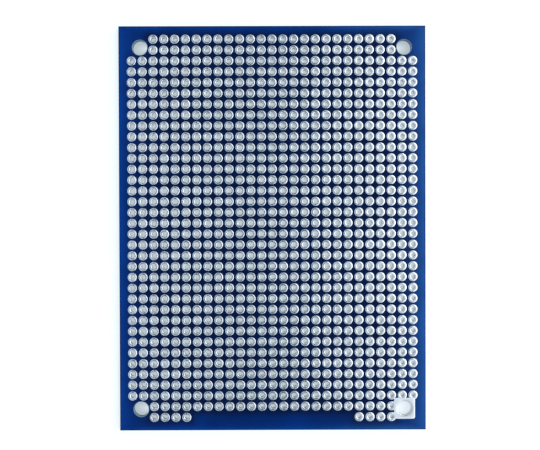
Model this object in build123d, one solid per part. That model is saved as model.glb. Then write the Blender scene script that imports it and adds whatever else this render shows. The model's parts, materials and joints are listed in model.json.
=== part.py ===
"""Prototype board: a drilled laminate plate with a grid of tinned lands.

The origin is at the centre of the underside. X runs along the width, Y along
the length, and +Z points up through the tinned face. All sizes are in millimetres.
"""

from build123d import *
import os

# Laminate plate
board_width = 72.0
board_length = 95.0
board_thickness = 1.6

# Mounting holes, one in each corner, set in from both edges
mounting_hole_diameter = 3.5
mounting_hole_inset = 5.0

# Grid of lands: centre distance, the bare gap between two lands and how proud they stand
land_pitch = 2.54
land_gap = 0.34
land_height = 0.1
grid_margin = 2.6
land_to_hole_clearance = 0.15

# Bare strip in the middle of the first row, the one nearest to the ground land's edge
bare_strip_width = 38.0

# Square ground land round one mounting hole
ground_land_width = 5.0

# Corners of a land's foot, and the full circle in degrees that they share
foot_corners = 4
full_circle = 360.0

# Sizes that follow from those above
hole_radius = mounting_hole_diameter / 2
hole_x = board_width / 2 - mounting_hole_inset
hole_y = board_length / 2 - mounting_hole_inset
hole_centres = [Vector(x, y) for y in (hole_y, -hole_y) for x in (-hole_x, hole_x)]
ground_centre = Vector(hole_x, -hole_y)
land_radius = (land_pitch - land_gap) / 2
columns = int((board_width - 2 * grid_margin) / land_pitch) + 1
rows = int((board_length - 2 * grid_margin) / land_pitch) + 1


def land_centre(column, row):
    """Centre of a land, with column 0 at the left and row 0 at the ground land's edge."""
    x = (column - (columns - 1) / 2) * land_pitch
    y = (row - (rows - 1) / 2) * land_pitch
    return Vector(x, y)


def has_land(centre, row):
    """False where a mounting hole or the bare strip of the first row takes the place."""
    keep_off = hole_radius + land_radius + land_to_hole_clearance
    clear_of_holes = all((centre - hole).length > keep_off for hole in hole_centres)
    in_bare_strip = row == 0 and abs(centre.X) < bare_strip_width / 2
    return clear_of_holes and not in_bare_strip


def meets_ground_land(centre):
    """True where a land reaches the square of the ground land."""
    away = centre - ground_centre
    beside_x = max(abs(away.X) - ground_land_width / 2, 0)
    beside_y = max(abs(away.Y) - ground_land_width / 2, 0)
    return Vector(beside_x, beside_y).length < land_radius


def make_land():
    """One land: a square foot, and as its crown the same square turned by half a corner."""
    corner_angle = full_circle / foot_corners
    start = Vector(land_radius, 0)
    foot = [start.rotate(Axis.Z, number * corner_angle) for number in range(foot_corners)]
    lift = Vector(0, 0, land_height)
    crown = [corner.rotate(Axis.Z, corner_angle / 2) + lift for corner in foot]
    return ConvexPolyhedron(foot + crown)


def make_board():
    """The plate with its four mounting holes."""
    outline = Rectangle(board_width, board_length)
    holes = [Pos(hole) * Circle(hole_radius) for hole in hole_centres]
    return extrude(outline - holes, board_thickness)


def make_ground_land(land, centres):
    """The square land round its hole, with the round lands that run into it."""
    outline = Rectangle(ground_land_width, ground_land_width) - Circle(hole_radius)
    square = Pos(ground_centre) * extrude(outline, land_height)
    joined = square + [Pos(centre) * land for centre in centres]
    return Pos(0, 0, board_thickness) * joined


def save(name, shape):
    """Write one sub-part under its own name."""
    shape.label = name
    export_step(shape, f"parts/{name}.step")


def main():
    os.makedirs("parts", exist_ok=True)
    land = make_land()
    save("board", make_board())
    joined = []
    for row in range(rows):
        centres = [land_centre(column, row) for column in range(columns)]
        centres = [centre for centre in centres if has_land(centre, row)]
        joined += [centre for centre in centres if meets_ground_land(centre)]
        apart = [centre for centre in centres if not meets_ground_land(centre)]
        lands = [Pos(0, 0, board_thickness) * Pos(centre) * land for centre in apart]
        save(f"pads_row_{row + 1:02d}", Compound(lands))
    save("ground_land", make_ground_land(land, joined))


main()
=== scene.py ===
"""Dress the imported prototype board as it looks: laminate, solder mask, plated lands and a plain stage.

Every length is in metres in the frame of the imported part: the origin is at the centre of the laminate's
underside, X runs along the width, Y along the length away from the ground land's edge, Z up.
"""

import json
import math

import bpy
import numpy as np
from bpy.props import FloatProperty, FloatVectorProperty, IntProperty, PointerProperty
from bpy.types import Operator, Panel, PropertyGroup
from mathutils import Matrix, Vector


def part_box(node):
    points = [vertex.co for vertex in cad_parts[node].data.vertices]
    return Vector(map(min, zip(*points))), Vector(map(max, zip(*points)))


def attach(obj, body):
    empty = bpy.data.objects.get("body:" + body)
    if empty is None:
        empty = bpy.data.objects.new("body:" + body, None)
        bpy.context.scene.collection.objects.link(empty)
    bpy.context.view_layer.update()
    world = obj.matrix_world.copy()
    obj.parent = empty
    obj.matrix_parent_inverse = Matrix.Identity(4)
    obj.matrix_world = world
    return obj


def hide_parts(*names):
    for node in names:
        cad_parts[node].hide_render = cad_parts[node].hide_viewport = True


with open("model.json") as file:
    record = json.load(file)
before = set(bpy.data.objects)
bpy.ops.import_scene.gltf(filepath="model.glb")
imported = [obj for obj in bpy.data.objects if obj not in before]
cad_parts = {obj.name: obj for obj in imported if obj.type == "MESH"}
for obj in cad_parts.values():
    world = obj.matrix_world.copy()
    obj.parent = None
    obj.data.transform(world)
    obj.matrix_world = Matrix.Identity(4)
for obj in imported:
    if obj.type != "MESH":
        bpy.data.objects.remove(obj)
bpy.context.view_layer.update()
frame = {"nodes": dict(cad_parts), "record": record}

bl_info = {
    "name": "Prototype Board",
    "version": (1, 0, 0),
    "blender": (4, 5, 0),
    "location": "3D View > Sidebar > Prototype Board",
    "description": "Builds the laminate, solder mask and plated lands of a packed prototype board",
    "category": "Object",
}

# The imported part: its box, its board, its rows of lands and its mounting holes
board_low, board_high = [np.array(corner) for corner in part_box("board")]
ground_low, ground_high = [np.array(corner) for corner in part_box("ground_land")]
row_names = sorted(name for name in frame["nodes"] if name.startswith("pads_row_"))
row_boxes = np.array([[list(corner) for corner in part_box(name)] for name in row_names])
row_y = row_boxes[:, :, 1].mean(axis=1)
row_count = len(row_names)
land_pitch = float(np.diff(row_y).mean())
land_diameter = float(row_boxes[0, 1, 1] - row_boxes[0, 0, 1])
land_rise = float(row_boxes[0, 1, 2] - board_high[2])
row_reach = float(row_boxes[:, 1, 0].max() - row_boxes[:, 0, 0].min() - land_diameter)
column_count = round(row_reach / land_pitch) + 1
column_x = (np.arange(column_count) - (column_count - 1) / 2) * land_pitch
mounts = {mount["name"]: mount for mount in frame["record"]["mounts"]}
hole_radius = mounts["ground_hole"]["dims"]["r_mm"] / 1000
ground_centre = np.array(mounts["ground_hole"]["pos_m"][:2])

# How the meshes are divided: steps along one side of a grid cell, points round a land and the square land
CELL_STEPS = 3
LAND_POINTS = 4 * CELL_STEPS
GROUND_POINTS = 64

# Cells along one side of the block round a mounting hole, and the step within which points are joined
BLOCK_CELLS = 2
WELD_STEP = 1e-8

# Edges of a mesh that turn by more than this stay sharp
PLATE_SHARP = math.radians(40)
LAND_SHARP = math.radians(100)

# The underside's solder is thinner: its height as a share of the upper face's
UNDERSIDE_SHARE = 0.5

# What copper and solder add to the rise at a round land's edge, shoulder, crest and lip
COPPER_SHARES = np.array([0.0, 0.35, 0.35, 0.10]).reshape(-1, 1)
SOLDER_SHARES = np.array([0.0, 0.15, 0.65, 0.20]).reshape(-1, 1)

# How far those rings follow the drilled hole, and the width of two of them in shares of the land's radius
FOLLOW_SHARES = np.array([0.0, 0.2, 0.6, 1.0]).reshape(-1, 1)
SHOULDER_SHARE = 0.96
CREST_SHARE = 0.68

# How far one land may differ from the next
MEAN_TILT = 0.80
TILT_SPREAD = 0.20
SAG_SPREAD = 0.25
LEVEL_SPREAD = 0.10
CREST_SPREAD = 0.05
LIP_SPREAD = 0.06
HOLE_DRIFT = 0.045e-3

# Rings of the square land: the order of its rounding, insets from its edge, then distances from its bore
SQUARE_ORDER = 14.0
SQUARE_INSETS = (0.0, 0.06e-3, 0.17e-3)
BORE_WIDTHS = (0.30e-3, 0.12e-3, 0.05e-3, 0.01e-3, 0.0)

# At each ring of the square land, its share of the land's height and how far its solder is frosted
SQUARE_SHARES = np.array([0.0, 0.72, 1.0, 0.64, 0.40, 0.14, -0.3, -1.2]).reshape(-1, 1)
FROST_SHARES = np.array([1.0, 1.0, 1.0, 0.75, 0.25, 0.05, 0.05, 0.45])

# The square land's height as a share of the rise, and its ripple: waves round the hole and where they start
SQUARE_RISE_SHARE = 0.94
SQUARE_RIPPLE = 0.06
RIPPLE_WAVES = ((3, 0.6), (5, 2.0))

# Tone of the solder, from dull to bright: a painted sheen that rises from an even middle of the board to
# either side, plus a draw for each land
LEFT_PAINTED_SHEEN = 0.9
RIGHT_PAINTED_SHEEN = 1.9
EVEN_MIDDLE = 0.1
TONE_DRAW = (-0.1, 0.3)
TONE_LIMITS = (-0.1, 1.5)
SQUARE_TONE = 0.4


def columns_of(name):
    """Columns of the grid that one packed row fills, from where the points of its lands lie."""
    mesh = frame["nodes"][name].data
    points = np.empty(len(mesh.vertices) * 3)
    mesh.vertices.foreach_get("co", points)
    return np.unique(np.round(points[0::3] / land_pitch + (column_count - 1) / 2).astype(int))


def read_grid():
    """What each place of the grid holds, as four maps of rows by columns.

    A place is a land of its own row, a land that runs into the ground land, part of the block of
    cells round a mounting hole, or bare.
    """
    own = np.zeros((row_count, column_count), bool)
    for number, name in enumerate(row_names):
        own[number, columns_of(name)] = True
    corner = np.zeros_like(own)
    ends = np.r_[0:BLOCK_CELLS, -BLOCK_CELLS:0]
    corner[np.ix_(ends, ends)] = True
    beside_x = (column_x > ground_low[0]) & (column_x < ground_high[0])
    beside_y = (row_y > ground_low[1]) & (row_y < ground_high[1])
    joined = beside_y[:, None] & beside_x[None, :] & ~own & ~corner
    return own, joined, corner, ~(own | joined | corner)


own_lands, joined_lands, corner_cells, bare_cells = read_grid()


def centres_of(places):
    """Centres in the plane of the places that a map marks, row by row."""
    rows, columns = np.nonzero(places)
    return np.stack([column_x[columns], row_y[rows]], axis=-1)


# Meshes


def square_loop(half, per_side):
    """Points round a square: each side runs from one corner to the next in equal steps."""
    corners = half * np.array([(1.0, 1.0), (-1.0, 1.0), (-1.0, -1.0), (1.0, -1.0)])
    start = corners[:, None, :]
    side = np.roll(corners, -1, axis=0)[:, None, :] - start
    step = np.arange(per_side)[None, :, None] / per_side
    return (start + side * step).reshape(-1, 2)


def even_turns(count):
    """Angles in equal steps round a circle, from the diagonal on which a square loop starts."""
    return math.pi / 4 + np.arange(count) * 2 * math.pi / count


def round_loop(radius, count):
    """Points round a circle: radius times the cosine and sine of equal turns."""
    turn = even_turns(count)
    return radius * np.stack([np.cos(turn), np.sin(turn)], axis=-1)


def ring_quads(shapes, rings, count, closed):
    """Quads from each ring to the next, for shapes whose points are numbered ring by ring.

    A closed shape also joins its last ring to its first, as a tube bent round to meet itself.
    """
    here = np.arange(shapes * rings * count).reshape(shapes, rings, count)
    ahead = np.roll(here, -1, axis=2)
    inner, inner_ahead = np.roll(here, -1, axis=1), np.roll(ahead, -1, axis=1)
    quads = np.stack([here, ahead, inner_ahead, inner], axis=-1)
    if not closed:
        quads = quads[:, :-1]
    return quads.reshape(-1, 4)


def ringed_cells(centres, half, opening_centres, radius, per_side):
    """Square cells with a round opening: quads from the square's loop to the circle's loop."""
    square = centres[:, None, :] + square_loop(half, per_side)
    circle = opening_centres[:, None, :] + round_loop(radius, 4 * per_side)
    points = np.stack([square, circle], axis=1)
    return points.reshape(-1, 2), ring_quads(len(centres), 2, 4 * per_side, False)


def plain_cells():
    """The board's margins and bare places: the quads of a lattice that follows the cells' divisions."""
    half = land_pitch / 2
    fine_x = np.linspace(column_x[0] - half, column_x[-1] + half, column_count * CELL_STEPS + 1)
    fine_y = np.linspace(row_y[0] - half, row_y[-1] + half, row_count * CELL_STEPS + 1)
    lines_x = np.r_[board_low[0], fine_x, board_high[0]]
    lines_y = np.r_[board_low[1], fine_y, board_high[1]]
    grid_y, grid_x = np.meshgrid(lines_y, lines_x, indexing="ij")
    points = np.stack([grid_x, grid_y], axis=-1).reshape(-1, 2)
    number = np.arange(len(points)).reshape(grid_x.shape)
    quads = np.stack([number[:-1, :-1], number[:-1, 1:], number[1:, 1:], number[1:, :-1]], axis=-1)
    bare = np.repeat(np.repeat(bare_cells, CELL_STEPS, axis=0), CELL_STEPS, axis=1)
    shown = np.pad(bare, 1, constant_values=True)
    return points, quads[shown]


def weld(points, quads):
    """Join points that lie at one place, found by rounding them to a fine step, and drop unused ones."""
    used, quads = np.unique(quads, return_inverse=True)
    points = points[used]
    keys = np.round(points / WELD_STEP).astype(np.int64)
    first, same = np.unique(keys, axis=0, return_index=True, return_inverse=True)[1:]
    return points[first], same.reshape(-1)[quads.reshape(-1, 4)]


def drilled_plan(land_opening, hole_opening):
    """Plan of the board with a round opening at every land and at every mounting hole."""
    lands = centres_of(own_lands | joined_lands)
    blocks = centres_of(corner_cells)
    side = np.sign(blocks)
    quarter = np.array([(-1, -1), (1, -1), (1, 1), (-1, 1)])
    block_centres = np.stack([blocks[(side == signs).all(axis=1)].mean(axis=0) for signs in quarter])
    hole_centres = quarter * np.abs(ground_centre)
    half = land_pitch / 2
    block_half, block_steps = half * BLOCK_CELLS, CELL_STEPS * BLOCK_CELLS
    parts = [
        ringed_cells(lands, half, lands, land_opening, CELL_STEPS),
        ringed_cells(block_centres, block_half, hole_centres, hole_opening, block_steps),
        plain_cells(),
    ]
    starts = np.cumsum([0] + [len(points) for points, quads in parts])
    points = np.concatenate([points for points, quads in parts])
    quads = np.concatenate([quads + start for (points, quads), start in zip(parts, starts)])
    return weld(points, quads)


def drilled_plate(low, high, land_opening, hole_opening):
    """A closed plate: the plan at both heights, and a wall along each edge that has one quad only."""
    plan, quads = drilled_plan(land_opening, hole_opening)
    count = len(plan)
    upper = np.column_stack([plan, np.full(count, high)])
    lower = np.column_stack([plan, np.full(count, low)])
    edges = np.stack([quads, np.roll(quads, -1, axis=1)], axis=-1).reshape(-1, 2)
    key = np.sort(edges, axis=1) @ np.array([count, 1])
    same, times = np.unique(key, return_inverse=True, return_counts=True)[1:]
    start, end = edges[times[same.reshape(-1)] == 1].T
    walls = np.stack([start + count, end + count, end, start], axis=-1)
    return np.concatenate([upper, lower]), np.concatenate([quads, quads[:, ::-1] + count, walls])


def link_object(name, data):
    """A new object at the origin for a mesh, a lamp or a camera, linked into the scene."""
    item = bpy.data.objects.new(name, data)
    bpy.context.scene.collection.objects.link(item)
    return item


def make_piece(name, points, quads, material, sharp_angle):
    """Put points and quads into a mesh whose object sits at the origin and rides on the part's one body."""
    mesh = bpy.data.meshes.new(name)
    mesh.vertices.add(len(points))
    mesh.vertices.foreach_set("co", points.ravel())
    mesh.loops.add(quads.size)
    mesh.loops.foreach_set("vertex_index", quads.ravel())
    mesh.polygons.add(len(quads))
    mesh.polygons.foreach_set("loop_start", np.arange(0, quads.size, 4))
    mesh.update(calc_edges=True)
    mesh.shade_smooth()
    mesh.set_sharp_from_angle(angle=sharp_angle)
    mesh.materials.append(material)
    piece = link_object(name, mesh)
    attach(piece, "root")
    return piece


def add_attribute(piece, name, values):
    """A number for each point of a piece, for its material to read."""
    attribute = piece.data.attributes.new(name, "FLOAT", "POINT")
    attribute.data.foreach_set("value", values.astype(np.float32))


def bareness(points):
    """0 at a land's cell, rising to 1 at half a pitch outside it: the distance to the nearest cell."""
    lands = centres_of(own_lands | joined_lands)
    away = np.abs(points[:, None, :2] - lands[None]) - land_pitch / 2
    nearest = np.linalg.norm(np.maximum(away, 0), axis=-1).min(axis=1)
    return np.clip(nearest / (land_pitch / 2), 0, 1)


def land_rings(centres, sizes, rng):
    """Rings of plated lands: edge, shoulder, crest and lip on the upper face, the same back on the lower.

    Each ring is a circle whose centre moves from the land's centre to the drilled hole's. Its height is
    the rise times the sum of the copper's share and the solder's. The solder's share is scaled by one
    plus a slant, which is a tilt, the cosine of the turn, and a sag, the cosine of twice the turn, both
    drawn for each land and face, over one plus their reach, so that the crest stays within the rise.
    """
    count = len(centres)
    turn = even_turns(LAND_POINTS)
    uneven = sizes.unevenness
    radius = land_diameter / 2
    draw = rng.uniform(-1, 1, (9, 2, count, 1, 1))
    side = math.pi * draw[0]
    fold = math.pi * draw[1]
    tilt_reach = uneven * (MEAN_TILT + TILT_SPREAD * draw[2])
    sag_reach = uneven * SAG_SPREAD * draw[3]
    slant = tilt_reach * np.cos(turn - side) + sag_reach * np.cos(2 * turn - fold)
    level = (1 - LEVEL_SPREAD * uneven * np.abs(draw[5])) / (1 + tilt_reach + np.abs(sag_reach))
    crest = CREST_SHARE + CREST_SPREAD * uneven * draw[4]
    height = sizes.rise * (COPPER_SHARES + SOLDER_SHARES * level * (1 + slant))
    edge = np.full_like(crest, radius)
    lip = np.full_like(crest, sizes.lead_hole / 2) * (1 + LIP_SPREAD * uneven * draw[6][:1])
    width = np.concatenate([edge, SHOULDER_SHARE * edge, crest * radius, lip], axis=2)
    drift = HOLE_DRIFT * uneven * draw[7:9, 0, :, 0, 0]
    x = centres[:, 0, None, None] + FOLLOW_SHARES * drift[0][:, None, None] + width * np.cos(turn)
    y = centres[:, 1, None, None] + FOLLOW_SHARES * drift[1][:, None, None] + width * np.sin(turn)
    upper = np.stack([x[0], y[0], board_high[2] + height[0]], axis=-1)
    lower = np.stack([x[1], y[1], board_low[2] - UNDERSIDE_SHARE * height[1]], axis=-1)
    return np.concatenate([upper, lower[:, ::-1]], axis=1)


def ground_rings(sizes):
    """Rings of the square land: a squircle that turns round towards the hole, and back on the lower face.

    A squircle of half width a reaches a over the root of order p of cos to the p plus sin to the p.
    The rings go from the outer edge over the crest into the plated hole, and close along its outside.
    Their height ripples: one plus a sum of cosines, over the most that it can come to.
    """
    turn = even_turns(GROUND_POINTS)
    powers = np.abs(np.cos(turn)) ** SQUARE_ORDER + np.abs(np.sin(turn)) ** SQUARE_ORDER
    square = powers ** (-1 / SQUARE_ORDER)
    outer = sizes.ground_width / 2 - np.array(SQUARE_INSETS)
    inner = hole_radius - sizes.plating + np.array(BORE_WIDTHS)
    reach = np.concatenate([outer[:, None] * square, inner[:, None] * np.ones_like(turn)])
    uneven = SQUARE_RIPPLE * sizes.unevenness
    waves = sum(np.cos(count * turn + start) for count, start in RIPPLE_WAVES)
    ripple = (1 + uneven * waves) / (1 + len(RIPPLE_WAVES) * uneven)
    height = sizes.rise * SQUARE_RISE_SHARE * SQUARE_SHARES * ripple
    wall = np.full((2, GROUND_POINTS), hole_radius)
    width = np.concatenate([reach, reach[::-1], wall])
    low, high = board_low[2], board_high[2]
    flat = np.broadcast_to(np.array([[low], [high]]), wall.shape)
    z = np.concatenate([high + height, low - UNDERSIDE_SHARE * height[::-1], flat])
    x = ground_centre[0] + width * np.cos(turn)
    y = ground_centre[1] + width * np.sin(turn)
    return np.stack([x, y, z], axis=-1)


# Shader nodes


def place(tree, kind, inputs=(), **settings):
    """Add a node with its settings; each input is a value, or the socket that feeds it."""
    node = tree.nodes.new(kind)
    for name, value in settings.items():
        setattr(node, name, value)
    for key, value in dict(inputs).items():
        if isinstance(value, bpy.types.NodeSocket):
            tree.links.new(value, node.inputs[key])
        else:
            node.inputs[key].default_value = value
    return node


def figure(tree, operation, *values):
    """One step of arithmetic on values or sockets."""
    return place(tree, "ShaderNodeMath", dict(enumerate(values)), operation=operation).outputs[0]


def soft_step(tree, value, start, end, low, high, way="SMOOTHSTEP"):
    """A level that goes from low to high as the value goes from start to end, smoothly or in proportion."""
    inputs = {"Value": value, "From Min": start, "From Max": end, "To Min": low, "To Max": high}
    return place(tree, "ShaderNodeMapRange", inputs, interpolation_type=way).outputs["Result"]


def blend_colours(tree, share, first, second, way="MIX"):
    """A colour between two others, or the first times the second, by a share from 0 to 1."""
    inputs = {0: share, 6: first, 7: second}
    return place(tree, "ShaderNodeMix", inputs, data_type="RGBA", blend_type=way).outputs[2]


def opaque(colour):
    """A colour with its fourth number, which colour sockets ask for."""
    return (*colour, 1.0)


def object_axis(tree, axis):
    """One of the Object coordinates of the point that is shaded."""
    where = place(tree, "ShaderNodeTexCoord").outputs["Object"]
    return place(tree, "ShaderNodeSeparateXYZ", {0: where}).outputs[axis]


def own_value(tree, name):
    """The number that a piece holds for each of its points under a name."""
    return place(tree, "ShaderNodeAttribute", attribute_name=name).outputs["Fac"]


def new_group(name, inputs, outputs):
    """A node group with number inputs, each with its default, and outputs by name."""
    group = bpy.data.node_groups.new(name, "ShaderNodeTree")
    for label, default in inputs.items():
        socket = group.interface.new_socket(label, in_out="INPUT", socket_type="NodeSocketFloat")
        socket.default_value = default
    for label in outputs:
        group.interface.new_socket(label, in_out="OUTPUT", socket_type="NodeSocketFloat")
    return group, place(group, "NodeGroupInput"), place(group, "NodeGroupOutput")


def cloud_group():
    """Soft uneven patches: noise of a stated patch size, spread between two levels."""
    name = "soft_patches"
    if name in bpy.data.node_groups:
        return bpy.data.node_groups[name]
    group, given, result = new_group(name, {"Patch Size": 0.001, "Low": 0.0, "High": 1.0}, ["Level"])
    where = place(group, "ShaderNodeTexCoord").outputs["Object"]
    scale = figure(group, "DIVIDE", 1.0, given.outputs["Patch Size"])
    noise = place(group, "ShaderNodeTexNoise", {"Vector": where, "Scale": scale, "Detail": 3.0})
    low, high = given.outputs["Low"], given.outputs["High"]
    level = soft_step(group, noise.outputs["Fac"], 0.3, 0.7, low, high, "LINEAR")
    group.links.new(level, result.inputs["Level"])
    return group


def weave_group():
    """Glass cloth: warp and weft as sine waves across the board, plain-woven by turns."""
    name = "glass_weave"
    if name in bpy.data.node_groups:
        return bpy.data.node_groups[name]
    group, given, result = new_group(name, {"Thread Width": 0.0004}, ["Thread"])
    pace = figure(group, "DIVIDE", math.pi, given.outputs["Thread Width"])
    across = figure(group, "SINE", figure(group, "MULTIPLY", object_axis(group, "X"), pace))
    along = figure(group, "SINE", figure(group, "MULTIPLY", object_axis(group, "Y"), pace))
    crossing = figure(group, "MULTIPLY", across, along)
    level = figure(group, "MULTIPLY_ADD", crossing, 0.5, 0.5)
    group.links.new(level, result.inputs["Thread"])
    return group


def group_value(tree, group, inputs):
    """Place a group in a material with its own values and return its one output."""
    node = place(tree, "ShaderNodeGroup", node_tree=group)
    for label, value in inputs.items():
        node.inputs[label].default_value = value
    return node.outputs[0]


def new_material(name):
    """A material without any nodes yet, and its tree."""
    material = bpy.data.materials.new(name)
    material.use_nodes = True
    material.node_tree.nodes.clear()
    return material, material.node_tree


def finish_material(tree, inputs):
    """Close a material with a Principled BSDF."""
    shader = place(tree, "ShaderNodeBsdfPrincipled", inputs)
    place(tree, "ShaderNodeOutputMaterial", {"Surface": shader.outputs[0]})


def edge_distance(tree, end_weight):
    """How far a point lies inside the board's outline.

    It is the distance to the nearer side or the weighted distance to the nearer end, whichever is less.
    """
    across = figure(tree, "ABSOLUTE", object_axis(tree, "X"))
    along = figure(tree, "ABSOLUTE", object_axis(tree, "Y"))
    from_side = figure(tree, "SUBTRACT", float(board_high[0]), across)
    from_end = figure(tree, "SUBTRACT", float(board_high[1]), along)
    return figure(tree, "MINIMUM", from_side, figure(tree, "MULTIPLY", from_end, end_weight))


# Width of the glass cloth's threads
THREAD_WIDTH = 0.00045

# The mask's border: how much faster its glow fades from an end than from a side, and its dark rim
GLOW_END_WEIGHT = 2.6
RIM_FADE = (0.00008, 0.0003)
RIM_LEVEL = 0.25


def mask_material(finish):
    """Glossy blue solder mask, painted darker between the lands as shade and paler away from them.

    Light that enters at the cut edge adds to it: its share is e to the minus distance over the depth.
    The border is painted paler on the right, as light from that side, and dark along the very edge.
    """
    material, tree = new_material("blue_solder_mask")
    # Painted shade: the mask is darker between the lands than away from them, by how bare each point is
    bare = own_value(tree, "bare")
    inner = blend_colours(tree, bare, opaque(finish.shaded_mask_colour), opaque(finish.open_mask_colour))
    reach = figure(tree, "DIVIDE", edge_distance(tree, GLOW_END_WEIGHT), -finish.glow_depth)
    glow = figure(tree, "EXPONENT", reach)
    # Painted light: the border grows paler towards the right, where the lamp stands
    lit_right = soft_step(tree, object_axis(tree, "X"), 0.0, float(board_high[0]), 0.0, 1.0)
    border = blend_colours(tree, lit_right, opaque(finish.border_colour), opaque(finish.lit_border_colour))
    base = blend_colours(tree, glow, inner, border)
    patch = group_value(tree, cloud_group(), {"Patch Size": 0.006, "Low": 0.86, "High": 1.14})
    thread = group_value(tree, weave_group(), {"Thread Width": THREAD_WIDTH})
    woven = soft_step(tree, thread, 0.0, 1.0, 0.95, 1.05, "LINEAR")
    rim = soft_step(tree, edge_distance(tree, 1.0), *RIM_FADE, RIM_LEVEL, 1.0)
    tone = figure(tree, "MULTIPLY", figure(tree, "MULTIPLY", patch, woven), rim)
    colour = blend_colours(tree, 1.0, base, tone, "MULTIPLY")
    rough = group_value(tree, cloud_group(), {"Patch Size": 0.0012, "Low": 0.10, "High": 0.16})
    peel = group_value(tree, cloud_group(), {"Patch Size": 0.0009, "Low": 0.0, "High": 1.0})
    relief = figure(tree, "MULTIPLY_ADD", thread, 0.35, peel)
    bump = place(tree, "ShaderNodeBump", {"Height": relief, "Distance": 0.0000015, "Strength": 0.6})
    finish_material(tree, {
        "Base Color": colour,
        "Roughness": rough,
        "Normal": bump.outputs[0],
        "IOR": 1.5,
    })
    return material


# How metallic bright and frosted solder are, how rough frost makes it, and where a lip's solder thins and
# is painted darker as shade
BRIGHT_METAL = 0.90
FROSTED_METAL = 0.30
FROST_ROUGHNESS = 0.16
LIP_DEPTHS = (0.00025, 0.00002)

# Tones between which the solder turns satin, and how much rougher that makes it
SATIN_TONES = (0.5, 1.1)
SATIN_ROUGHNESS = 0.05


def tin_material(finish):
    """Hot-air levelled solder: bright metal, duller in patches and from land to land, with a faint grain.

    The mean of a land's tone, which holds a painted sheen by its place, and a patchy film moves it
    from dull to bright, and the brightest is satin.
    The thick solder of the square land is frosted. Down in a lead hole the solder is thin and dull, and
    painted darker as shade.
    """
    material, tree = new_material("levelled_solder")
    # A land's tone holds a painted sheen by its place as well as its own draw
    tone = own_value(tree, "tone")
    film = group_value(tree, cloud_group(), {"Patch Size": 0.0005, "Low": 0.15, "High": 0.85})
    share = figure(tree, "MULTIPLY", figure(tree, "ADD", tone, film), 0.5)
    colour = blend_colours(tree, share, opaque(finish.dull_tin_colour), opaque(finish.tin_colour))
    matte = own_value(tree, "matte")
    colour = blend_colours(tree, matte, colour, opaque(finish.frosted_tin_colour))
    middle = float(board_low[2] + board_high[2]) / 2
    inside = figure(tree, "ABSOLUTE", figure(tree, "SUBTRACT", object_axis(tree, "Z"), middle))
    deep, shallow = [middle - depth for depth in LIP_DEPTHS]
    # Painted shade: down in a lead hole the solder is darker, besides being thin and dull
    thin = soft_step(tree, inside, deep, shallow, 1.0, 0.0)
    thin = figure(tree, "MULTIPLY", thin, figure(tree, "SUBTRACT", 1.0, matte))
    colour = blend_colours(tree, thin, colour, opaque(finish.barrel_shade_colour))
    metal = soft_step(tree, matte, 0.0, 1.0, BRIGHT_METAL, FROSTED_METAL, "LINEAR")
    patch = group_value(tree, cloud_group(), {"Patch Size": 0.0004, "Low": 0.20, "High": 0.30})
    satin = soft_step(tree, tone, *SATIN_TONES, 0.0, SATIN_ROUGHNESS, "LINEAR")
    rough = figure(tree, "MULTIPLY_ADD", matte, FROST_ROUGHNESS, figure(tree, "ADD", patch, satin))
    swell = group_value(tree, cloud_group(), {"Patch Size": 0.0007, "Low": 0.0, "High": 1.0})
    grain = group_value(tree, cloud_group(), {"Patch Size": 0.00015, "Low": 0.0, "High": 0.08})
    relief = figure(tree, "ADD", swell, grain)
    bump = place(tree, "ShaderNodeBump", {"Height": relief, "Distance": 0.00003, "Strength": 0.25})
    finish_material(tree, {
        "Base Color": colour,
        "Metallic": metal,
        "Roughness": rough,
        "Normal": bump.outputs[0],
    })
    return material


# Distances inside the outline between which the laminate's wall counts as drilled, not as cut, and is
# painted darker as shade
DRILLED_SHADE_FADE = (0.001, 0.002)


def laminate_material(finish):
    """Cut glass-epoxy: pale resin with the cloth's layers as thin bands over the thickness.

    The drilled walls, which lie further inside the outline than the cut edge, are painted darker as shade,
    and cooler from mask that ran in.
    """
    material, tree = new_material("cut_laminate")
    layers = figure(tree, "SINE", figure(tree, "MULTIPLY", object_axis(tree, "Z"), math.tau / finish.ply))
    patch = group_value(tree, cloud_group(), {"Patch Size": 0.0006, "Low": -0.6, "High": 0.6})
    share = figure(tree, "MULTIPLY_ADD", figure(tree, "ADD", layers, patch), 0.3, 0.5)
    colour = blend_colours(tree, share, opaque(finish.resin_colour), opaque(finish.glass_colour))
    # Painted shade: the drilled walls are darker, and bluer where mask ran in
    drilled = soft_step(tree, edge_distance(tree, 1.0), *DRILLED_SHADE_FADE, 0.0, 1.0)
    colour = blend_colours(tree, drilled, colour, opaque(finish.drilled_shade_tint), "MULTIPLY")
    thread = group_value(tree, weave_group(), {"Thread Width": THREAD_WIDTH})
    relief = figure(tree, "ADD", figure(tree, "MULTIPLY", layers, 0.5), thread)
    bump = place(tree, "ShaderNodeBump", {"Height": relief, "Distance": 0.00002, "Strength": 0.5})
    rough = group_value(tree, cloud_group(), {"Patch Size": 0.0004, "Low": 0.55, "High": 0.75})
    finish_material(tree, {
        "Base Color": colour,
        "Roughness": rough,
        "Normal": bump.outputs[0],
    })
    return material


def finished(name, maker, finish):
    """The material of that name, made once."""
    return bpy.data.materials.get(name) or maker(finish)


# Sizes and colours that a user would change


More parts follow.
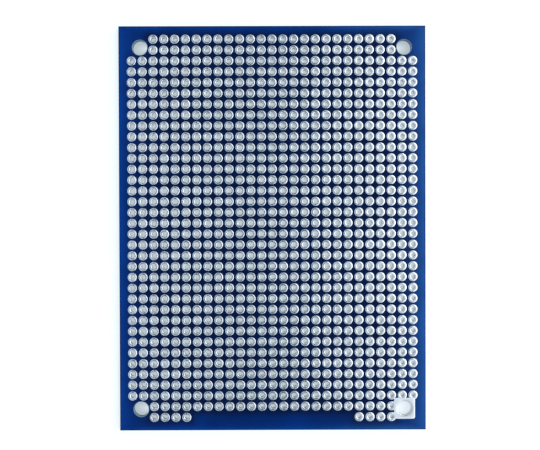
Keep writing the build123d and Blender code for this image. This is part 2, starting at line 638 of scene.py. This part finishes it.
class BoardSizes(PropertyGroup):
    """Sizes of what lies on the laminate."""

    rise: FloatProperty(
        name="Land Rise",
        description="How far the solder stands proud of the laminate",
        default=land_rise,
        unit="LENGTH",
    )
    lead_hole: FloatProperty(
        name="Lead Hole",
        description="Diameter of the plated hole in each land",
        default=0.00100,
        unit="LENGTH",
    )
    plating: FloatProperty(
        name="Plating",
        description="Thickness of the metal in the ground land's mounting hole",
        default=0.00005,
        unit="LENGTH",
    )
    ground_width: FloatProperty(
        name="Ground Land",
        description="Width of the square ground land",
        default=0.0050,
        unit="LENGTH",
    )
    mask_thickness: FloatProperty(
        name="Mask Thickness",
        description="Thickness of the solder mask on each face",
        default=0.000025,
        unit="LENGTH",
    )
    mask_gap: FloatProperty(
        name="Mask Gap",
        description="Bare ring between a land and the mask, negative where the mask laps over the land",
        default=-0.000025,
        unit="LENGTH",
    )
    hole_clearance: FloatProperty(
        name="Hole Clearance",
        description="Bare ring between a mounting hole and the mask",
        default=0.00012,
        unit="LENGTH",
    )
    unevenness: FloatProperty(
        name="Unevenness",
        description="How much the solder differs from land to land",
        default=1.0,
        min=0.0,
        max=1.5,
        subtype="FACTOR",
    )
    seed: IntProperty(
        name="Seed",
        description="Start of the random draws for the solder",
        default=7,
    )


class BoardFinish(PropertyGroup):
    """Colours of the board."""

    # The mask's colour between the lands holds painted shade
    shaded_mask_colour: FloatVectorProperty(
        name="Mask",
        description="Solder mask between the lands",
        default=(0.0022, 0.0112, 0.057),
        subtype="COLOR",
    )
    open_mask_colour: FloatVectorProperty(
        name="Open Mask",
        description="Solder mask away from the lands",
        default=(0.0010, 0.0230, 0.146),
        subtype="COLOR",
    )
    border_colour: FloatVectorProperty(
        name="Mask Border",
        description="Solder mask at the cut edge, where light comes through the laminate",
        default=(0.0012, 0.051, 0.310),
        subtype="COLOR",
    )
    # Painted light: the right-hand border is paler as if lit from that side
    lit_border_colour: FloatVectorProperty(
        name="Lit Mask Border",
        description="Solder mask at the right-hand edge, painted paler by light from the right",
        default=(0.020, 0.116, 0.41),
        subtype="COLOR",
    )
    glow_depth: FloatProperty(
        name="Glow Depth",
        description="Distance over which the paler border fades",
        default=0.0023,
        unit="LENGTH",
    )
    tin_colour: FloatVectorProperty(
        name="Solder",
        description="Bright solder",
        default=(0.86, 0.89, 0.93),
        subtype="COLOR",
    )
    # Dull solder also shows where the painted sheen is least, towards the middle of the board
    dull_tin_colour: FloatVectorProperty(
        name="Dull Solder",
        description="Solder under a thin film",
        default=(0.43, 0.48, 0.52),
        subtype="COLOR",
    )
    frosted_tin_colour: FloatVectorProperty(
        name="Frosted Solder",
        description="Thick solder of the square ground land",
        default=(0.94, 0.98, 1.0),
        subtype="COLOR",
    )
    # Inside a lead hole: thin dull solder, darkened as painted shade
    barrel_shade_colour: FloatVectorProperty(
        name="Barrel",
        description="Thin dull solder inside a lead hole",
        default=(0.50, 0.53, 0.52),
        subtype="COLOR",
    )
    resin_colour: FloatVectorProperty(
        name="Resin",
        description="Epoxy between the layers of the laminate",
        default=(0.34, 0.36, 0.31),
        subtype="COLOR",
    )
    glass_colour: FloatVectorProperty(
        name="Glass Cloth",
        description="Glass layers of the laminate",
        default=(0.56, 0.58, 0.51),
        subtype="COLOR",
    )
    # Painted shade in the mounting holes, with a bluer tint from mask
    drilled_shade_tint: FloatVectorProperty(
        name="Drilled Shade and Tint",
        description="What the laminate's colour is multiplied by in a mounting hole, painted darker as shade and bluer from mask that ran in",
        default=(0.52, 0.70, 0.95),
        subtype="COLOR",
    )
    ply: FloatProperty(
        name="Ply",
        description="Thickness of one layer of the laminate",
        default=0.0002,
        unit="LENGTH",
    )


class StageSettings(PropertyGroup):
    """Camera, lamp, surroundings and floor."""

    camera_place: FloatVectorProperty(
        name="Camera",
        description="Where the camera stands",
        default=(-0.001126, 0.002720, 0.200),
        subtype="XYZ",
    )
    camera_turn: FloatVectorProperty(
        name="Camera Turn",
        description="How the camera is turned from straight down",
        default=(math.radians(-0.554), math.radians(-0.160), math.radians(-0.174)),
        subtype="EULER",
    )
    lens: FloatProperty(
        name="Lens",
        description="Focal length of the camera in millimetres",
        default=56.248,
    )
    floor_colour: FloatVectorProperty(
        name="Floor",
        description="Pale floor and cove",
        default=(0.46, 0.46, 0.46),
        subtype="COLOR",
    )
    floor_glow: FloatProperty(
        name="Floor Glow",
        description="How far the floor is lifted towards white where it is looked at",
        default=0.69,
    )
    # Painted shade on the floor under the board
    covered_shade_colour: FloatVectorProperty(
        name="Covered Floor",
        description="Floor under the board, seen through its holes",
        default=(0.10, 0.10, 0.10),
        subtype="COLOR",
    )
    covered_shade_glow: FloatProperty(
        name="Covered Glow",
        description="How far the floor under the board is lifted towards white",
        default=0.56,
    )
    cool_colour: FloatVectorProperty(
        name="Cool Light",
        description="Colour of the room's light on the left and overhead",
        default=(0.78, 0.95, 1.16),
        subtype="COLOR",
    )
    plain_colour: FloatVectorProperty(
        name="Plain Light",
        description="Colour of the room's light on the right",
        default=(0.95, 1.0, 1.05),
        subtype="COLOR",
    )
    horizon_colour: FloatVectorProperty(
        name="Horizon Light",
        description="Colour of the room's light near the horizon",
        default=(0.45, 0.47, 0.50),
        subtype="COLOR",
    )
    lamp_power: FloatProperty(
        name="Lamp Power",
        description="Power of the soft lamp on the right in watts",
        default=1.5,
    )


# One operator for each group of pieces


class PROTOTYPE_BOARD_OT_laminate(Operator):
    """Build the drilled glass-epoxy laminate"""

    bl_idname = "prototype_board.laminate"
    bl_label = "Laminate"

    def execute(self, context):
        scene = context.scene
        points, quads = drilled_plate(board_low[2], board_high[2], land_diameter / 2, hole_radius)
        material = finished("cut_laminate", laminate_material, scene.board_finish)
        piece = make_piece("laminate", points, quads, material, PLATE_SHARP)
        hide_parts("board")
        return {"FINISHED"}


class PROTOTYPE_BOARD_OT_solder_mask(Operator):
    """Build the two thin sheets of solder mask, open at every land"""

    bl_idname = "prototype_board.solder_mask"
    bl_label = "Solder Mask"

    def execute(self, context):
        scene = context.scene
        sizes = scene.board_sizes
        land_opening = land_diameter / 2 + sizes.mask_gap
        hole_opening = hole_radius + sizes.hole_clearance
        material = finished("blue_solder_mask", mask_material, scene.board_finish)
        faces = {
            "mask_upper": (board_high[2], board_high[2] + sizes.mask_thickness),
            "mask_lower": (board_low[2] - sizes.mask_thickness, board_low[2]),
        }
        for name, (low, high) in faces.items():
            points, quads = drilled_plate(low, high, land_opening, hole_opening)
            piece = make_piece(name, points, quads, material, PLATE_SHARP)
            # How bare each point is sets the mask's painted shade between the lands
            add_attribute(piece, "bare", bareness(points))
        return {"FINISHED"}


def make_lands(name, centres, extra, scene, start):
    """Plated lands as one piece: a closed tube of eight rings for each, and any extra shape of rings.

    A land's tone is a painted sheen for its place, which grows in proportion to the distance from the
    even middle of the board, plus a draw of its own.
    """
    sizes = scene.board_sizes
    rng = np.random.default_rng((sizes.seed, start))
    rings = land_rings(centres, sizes, rng)
    across = centres[:, 0] / board_high[0]
    # Painted sheen: lands grow brighter from the middle of the board to either side, more to the right
    painted_sheen = np.where(across > 0, RIGHT_PAINTED_SHEEN, LEFT_PAINTED_SHEEN) * np.clip(np.abs(across) - EVEN_MIDDLE, 0, 1)
    tone = np.clip(painted_sheen + rng.uniform(*TONE_DRAW, len(centres)), *TONE_LIMITS)
    shapes = [(rings, tone)] + [(ring[None], np.array([SQUARE_TONE])) for ring in extra]
    points = np.concatenate([ring.reshape(-1, 3) for ring, tone in shapes])
    tones = np.concatenate([np.repeat(tone, ring.shape[1] * ring.shape[2]) for ring, tone in shapes])
    starts = np.cumsum([0] + [ring.size // 3 for ring, tone in shapes])
    quads = [ring_quads(*ring.shape[:3], True) + first for (ring, tone), first in zip(shapes, starts)]
    material = finished("levelled_solder", tin_material, scene.board_finish)
    piece = make_piece(name, points, np.concatenate(quads), material, LAND_SHARP)
    # The tone carries the painted sheen and each land's own draw to the material
    add_attribute(piece, "tone", tones)
    frosted = np.r_[FROST_SHARES, FROST_SHARES[::-1], 1.0, 1.0]
    matte = [np.zeros(rings.size // 3)] + [np.repeat(frosted, ring.shape[1]) for ring in extra]
    add_attribute(piece, "matte", np.concatenate(matte))
    return piece


class PROTOTYPE_BOARD_OT_land_rows(Operator):
    """Build the plated lands, one piece for each row"""

    bl_idname = "prototype_board.land_rows"
    bl_label = "Rows of Lands"

    def execute(self, context):
        for number, name in enumerate(row_names):
            places = np.zeros_like(own_lands)
            places[number] = own_lands[number]
            title = name.replace("pads", "eyelets")
            piece = make_lands(title, centres_of(places), [], context.scene, number)
            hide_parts(name)
        return {"FINISHED"}


class PROTOTYPE_BOARD_OT_ground_land(Operator):
    """Build the square ground land with its plated hole and the lands that run into it"""

    bl_idname = "prototype_board.ground_land"
    bl_label = "Ground Land"

    def execute(self, context):
        scene = context.scene
        square = ground_rings(scene.board_sizes)
        piece = make_lands("ground_eyelet", centres_of(joined_lands), [square], scene, row_count)
        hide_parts("ground_land")
        return {"FINISHED"}


# The cove: its spokes, the rings of its flat middle, and the start, radius and rings of its bend
COVE_SPOKES = 64
FLAT_RINGS = (0.002, 0.3)
BEND_START = 0.9
BEND_RADIUS = 0.7
BEND_RINGS = 13


def cove_points(level):
    """A round cove: flat in the middle, and past its flat radius a quarter turn up to its rim."""
    bend = np.linspace(0, math.pi / 2, BEND_RINGS)
    radius = np.r_[FLAT_RINGS, BEND_START + BEND_RADIUS * np.sin(bend)]
    height = np.r_[np.zeros(len(FLAT_RINGS)), BEND_RADIUS * (1 - np.cos(bend))]
    turn = even_turns(COVE_SPOKES)
    x = radius[:, None] * np.cos(turn)
    y = radius[:, None] * np.sin(turn)
    z = level + np.broadcast_to(height[:, None], x.shape)
    return np.stack([x, y, z], axis=-1)


def span(tree, point, stretch, target):
    """Distance in the plane from a point to a target, after both are stretched along X and Y."""
    inputs = {0: point, 1: (*stretch, 0.0)}
    flat = place(tree, "ShaderNodeVectorMath", inputs, operation="MULTIPLY").outputs[0]
    inputs = {0: flat, 1: (*np.multiply(stretch, target), 0.0)}
    return place(tree, "ShaderNodeVectorMath", inputs, operation="DISTANCE").outputs["Value"]


# The floor's faint tints in the open and under the board, where its bluer tint is painted light, and how
# far inside the outline they change over
OPEN_TINT = (0.95, 1.03, 1.06)
COVERED_LIGHT_TINT = (0.90, 1.03, 1.12)
COVER_FADE = (0.0, 0.002)

# How far the floor counts as covered in the plated hole, and the distances from its centre where that ends
PLATED_SHARE = 0.25
PLATED_FADE = (0.002, 0.003)

# The floor's brightest place in a mounting hole: its way from the hole's centre towards the board's middle
BRIGHT_SHIFT = np.array([0.0012, 0.0])

# How much faster the light falls off along the board, over which distance, and what it adds at either end
EVEN_STRETCH = (1.0, 1.0)
BRIGHT_STRETCH = (1.0, 1.8)
BRIGHT_REACH = 0.0026
BRIGHT_GAIN = (0.24, -0.17)

# Distances from a mounting hole's centre between which that light ends
HOLE_FADE = (0.0020, 0.0024)


def floor_material(stage):
    """White floor that takes shadows, lifted towards white for camera, glossy and transmission rays.

    Under the board, where it shows only through the holes, it is painted darker as shade, but hardly so in
    the bright plated hole. In a mounting hole its lift, a painted fall of light, falls in proportion to the
    distance from its brightest place.
    """
    material, tree = new_material("white_floor")
    covered = soft_step(tree, edge_distance(tree, 1.0), *COVER_FADE, 0.0, 1.0)
    where = place(tree, "ShaderNodeTexCoord").outputs["Object"]
    from_ground = span(tree, where, EVEN_STRETCH, ground_centre)
    plated = soft_step(tree, from_ground, *PLATED_FADE, PLATED_SHARE, 1.0)
    covered = figure(tree, "MULTIPLY", covered, plated)
    # Painted shade: under the board the floor is darker, lifted less and tinted bluer by painted light
    colour = blend_colours(tree, covered, opaque(stage.floor_colour), opaque(stage.covered_shade_colour))
    lift = soft_step(tree, covered, 0.0, 1.0, stage.floor_glow, stage.covered_shade_glow, "LINEAR")
    tint = blend_colours(tree, covered, opaque(OPEN_TINT), opaque(COVERED_LIGHT_TINT))
    folded = place(tree, "ShaderNodeVectorMath", {0: where}, operation="ABSOLUTE").outputs[0]
    hole_centre = np.abs(ground_centre)
    from_hole = span(tree, folded, EVEN_STRETCH, hole_centre)
    from_bright = span(tree, folded, BRIGHT_STRETCH, hole_centre - BRIGHT_SHIFT)
    # Painted light and shade in a mounting hole: brighter towards the board's middle, darker towards the
    # outer wall
    gain = soft_step(tree, from_bright, 0.0, BRIGHT_REACH, *BRIGHT_GAIN, "LINEAR")
    inside = soft_step(tree, from_hole, *HOLE_FADE, 1.0, 0.0)
    gain = figure(tree, "MULTIPLY", covered, figure(tree, "MULTIPLY", inside, gain))
    lift = figure(tree, "MULTIPLY_ADD", lift, gain, lift)
    path = place(tree, "ShaderNodeLightPath")
    seen = figure(tree, "MAXIMUM", path.outputs["Is Camera Ray"], path.outputs["Is Glossy Ray"])
    seen = figure(tree, "MAXIMUM", seen, path.outputs["Is Transmission Ray"])
    glow = figure(tree, "MULTIPLY", seen, lift)
    finish_material(tree, {
        "Base Color": colour,
        "Roughness": 0.8,
        "Emission Color": tint,
        "Emission Strength": glow,
    })
    return material


# The room's light from left to right: how far the direction leans, the level, and the share of plain light
ROOM_LIGHT = (
    (-1.0, 0.30, 0.0),
    (-0.65, 0.65, 0.0),
    (-0.45, 1.15, 0.0),
    (-0.28, 0.65, 0.0),
    (0.03, 0.20, 0.0),
    (0.20, 0.62, 0.5),
    (0.42, 2.00, 1.0),
    (0.65, 1.40, 1.0),
    (1.0, 0.70, 1.0),
)

# The dark patch overhead: its steepness across and along, where its edge fades, and its level
PATCH_ACROSS = 3.8
PATCH_ALONG = 3.3
PATCH_FADE = (1.0, 1.3)
PATCH_LEVEL = 0.10

# Heights between which the horizon's light goes over to the room's, and the least height for a slope
HORIZON_FADE = (0.20, 0.50)
LEAST_HEIGHT = 0.05


def make_world(stage):
    """Soft light from all round, with a dark patch overhead where the camera stands.

    The light's colour goes from stop to stop as the direction leans from left to right, and over to one
    even colour near the horizon. The patch is a rounded rectangle: the fourth root of the sum of the
    fourth powers of the direction's slopes, each times its own steepness.
    """
    world = bpy.data.worlds.new("studio")
    world.use_nodes = True
    tree = world.node_tree
    tree.nodes.clear()
    direction = place(tree, "ShaderNodeTexCoord").outputs["Generated"]
    split = place(tree, "ShaderNodeSeparateXYZ", {0: direction})
    sideways = soft_step(tree, split.outputs["X"], -1.0, 1.0, 0.0, 1.0, "LINEAR")
    ramp = place(tree, "ShaderNodeValToRGB", {0: sideways})
    cool, plain = np.array(stage.cool_colour), np.array(stage.plain_colour)
    stops = ramp.color_ramp.elements
    for number, (side, level, share) in enumerate(ROOM_LIGHT):
        spot = (side + 1) / 2
        stop = stops[number] if number < len(stops) else stops.new(spot)
        stop.position = spot
        stop.color = opaque(level * (cool * (1 - share) + plain * share))
    height = figure(tree, "MAXIMUM", split.outputs["Z"], LEAST_HEIGHT)
    across = figure(tree, "MULTIPLY", figure(tree, "DIVIDE", split.outputs["X"], height), PATCH_ACROSS)
    along = figure(tree, "MULTIPLY", figure(tree, "DIVIDE", split.outputs["Y"], height), PATCH_ALONG)
    spread = figure(tree, "ADD", figure(tree, "POWER", across, 4.0), figure(tree, "POWER", along, 4.0))
    patch = soft_step(tree, figure(tree, "POWER", spread, 0.25), *PATCH_FADE, PATCH_LEVEL, 1.0)
    upper = soft_step(tree, split.outputs["Z"], *HORIZON_FADE, 0.0, 1.0)
    colour = blend_colours(tree, upper, opaque(stage.horizon_colour), ramp.outputs["Color"])
    light = place(tree, "ShaderNodeBackground", {"Color": colour, "Strength": patch})
    place(tree, "ShaderNodeOutputWorld", {"Surface": light.outputs[0]})
    return world


def make_floor(level, stage):
    """The cove as one mesh: quads from ring to ring, and one face over its innermost ring."""
    rings = cove_points(level)
    quads = ring_quads(1, rings.shape[0], rings.shape[1], False)[:, ::-1]
    middle = np.arange(rings.shape[1])
    mesh = bpy.data.meshes.new("floor")
    mesh.from_pydata(rings.reshape(-1, 3).tolist(), [], quads.tolist() + [middle.tolist()])
    mesh.shade_smooth()
    mesh.materials.append(floor_material(stage))
    floor = link_object("floor", mesh)


# The soft lamp: its width and length, where it stands and how it is turned towards the board
LAMP_SIZE = (0.50, 0.80)
LAMP_PLACE = (0.54, 0.10, 0.27)
LAMP_TURN = (math.radians(-10), math.radians(63), 0.0)


def make_lamp(stage):
    """A soft rectangular lamp on the right."""
    lamp = bpy.data.lights.new("soft_lamp", "AREA")
    lamp.shape = "RECTANGLE"
    lamp.size, lamp.size_y = LAMP_SIZE
    lamp.energy = stage.lamp_power
    holder = link_object("soft_lamp", lamp)
    holder.location = LAMP_PLACE
    holder.rotation_euler = LAMP_TURN


# The camera's film width in millimetres, and the nearest that it sees
SENSOR_WIDTH = 36.0
NEAREST = 0.01


def make_camera(stage):
    """The camera above the board, which looks almost straight down."""
    view = bpy.data.cameras.new("camera")
    view.sensor_width = SENSOR_WIDTH
    view.lens = stage.lens
    view.clip_start = NEAREST
    camera = link_object("camera", view)
    camera.location = stage.camera_place
    camera.rotation_euler = stage.camera_turn
    return camera


class PROTOTYPE_BOARD_OT_stage(Operator):
    """Set up the pale floor, the soft light and the camera"""

    bl_idname = "prototype_board.stage"
    bl_label = "Stage"

    def execute(self, context):
        scene = context.scene
        stage = scene.board_stage
        make_floor(board_low[2] - UNDERSIDE_SHARE * scene.board_sizes.rise, stage)
        make_lamp(stage)
        scene.world = make_world(stage)
        scene.camera = make_camera(stage)
        scene.view_settings.view_transform = "Standard"
        return {"FINISHED"}


operators = (
    PROTOTYPE_BOARD_OT_laminate,
    PROTOTYPE_BOARD_OT_solder_mask,
    PROTOTYPE_BOARD_OT_land_rows,
    PROTOTYPE_BOARD_OT_ground_land,
    PROTOTYPE_BOARD_OT_stage,
)


class PROTOTYPE_BOARD_PT_panel(Panel):
    """Lists the sizes, the colours and the operators"""

    bl_idname = "PROTOTYPE_BOARD_PT_panel"
    bl_label = "Prototype Board"
    bl_space_type = "VIEW_3D"
    bl_region_type = "UI"
    bl_category = "Prototype Board"

    def draw(self, context):
        scene = context.scene
        for group in (scene.board_sizes, scene.board_finish, scene.board_stage):
            box = self.layout.box()
            for name in group.__annotations__:
                box.prop(group, name)
        for operator in operators:
            self.layout.operator(operator.bl_idname)


settings = (BoardSizes, BoardFinish, StageSettings)
classes = settings + operators + (PROTOTYPE_BOARD_PT_panel,)


def register():
    for cls in classes:
        bpy.utils.register_class(cls)
    bpy.types.Scene.board_sizes = PointerProperty(type=BoardSizes)
    bpy.types.Scene.board_finish = PointerProperty(type=BoardFinish)
    bpy.types.Scene.board_stage = PointerProperty(type=StageSettings)


def unregister():
    del bpy.types.Scene.board_stage
    del bpy.types.Scene.board_finish
    del bpy.types.Scene.board_sizes
    for cls in reversed(classes):
        bpy.utils.unregister_class(cls)


def main():
    register()
    bpy.ops.prototype_board.laminate()
    bpy.ops.prototype_board.solder_mask()
    bpy.ops.prototype_board.land_rows()
    bpy.ops.prototype_board.ground_land()
    bpy.ops.prototype_board.stage()
    bpy.context.view_layer.update()


if __name__ == "__main__":
    main()
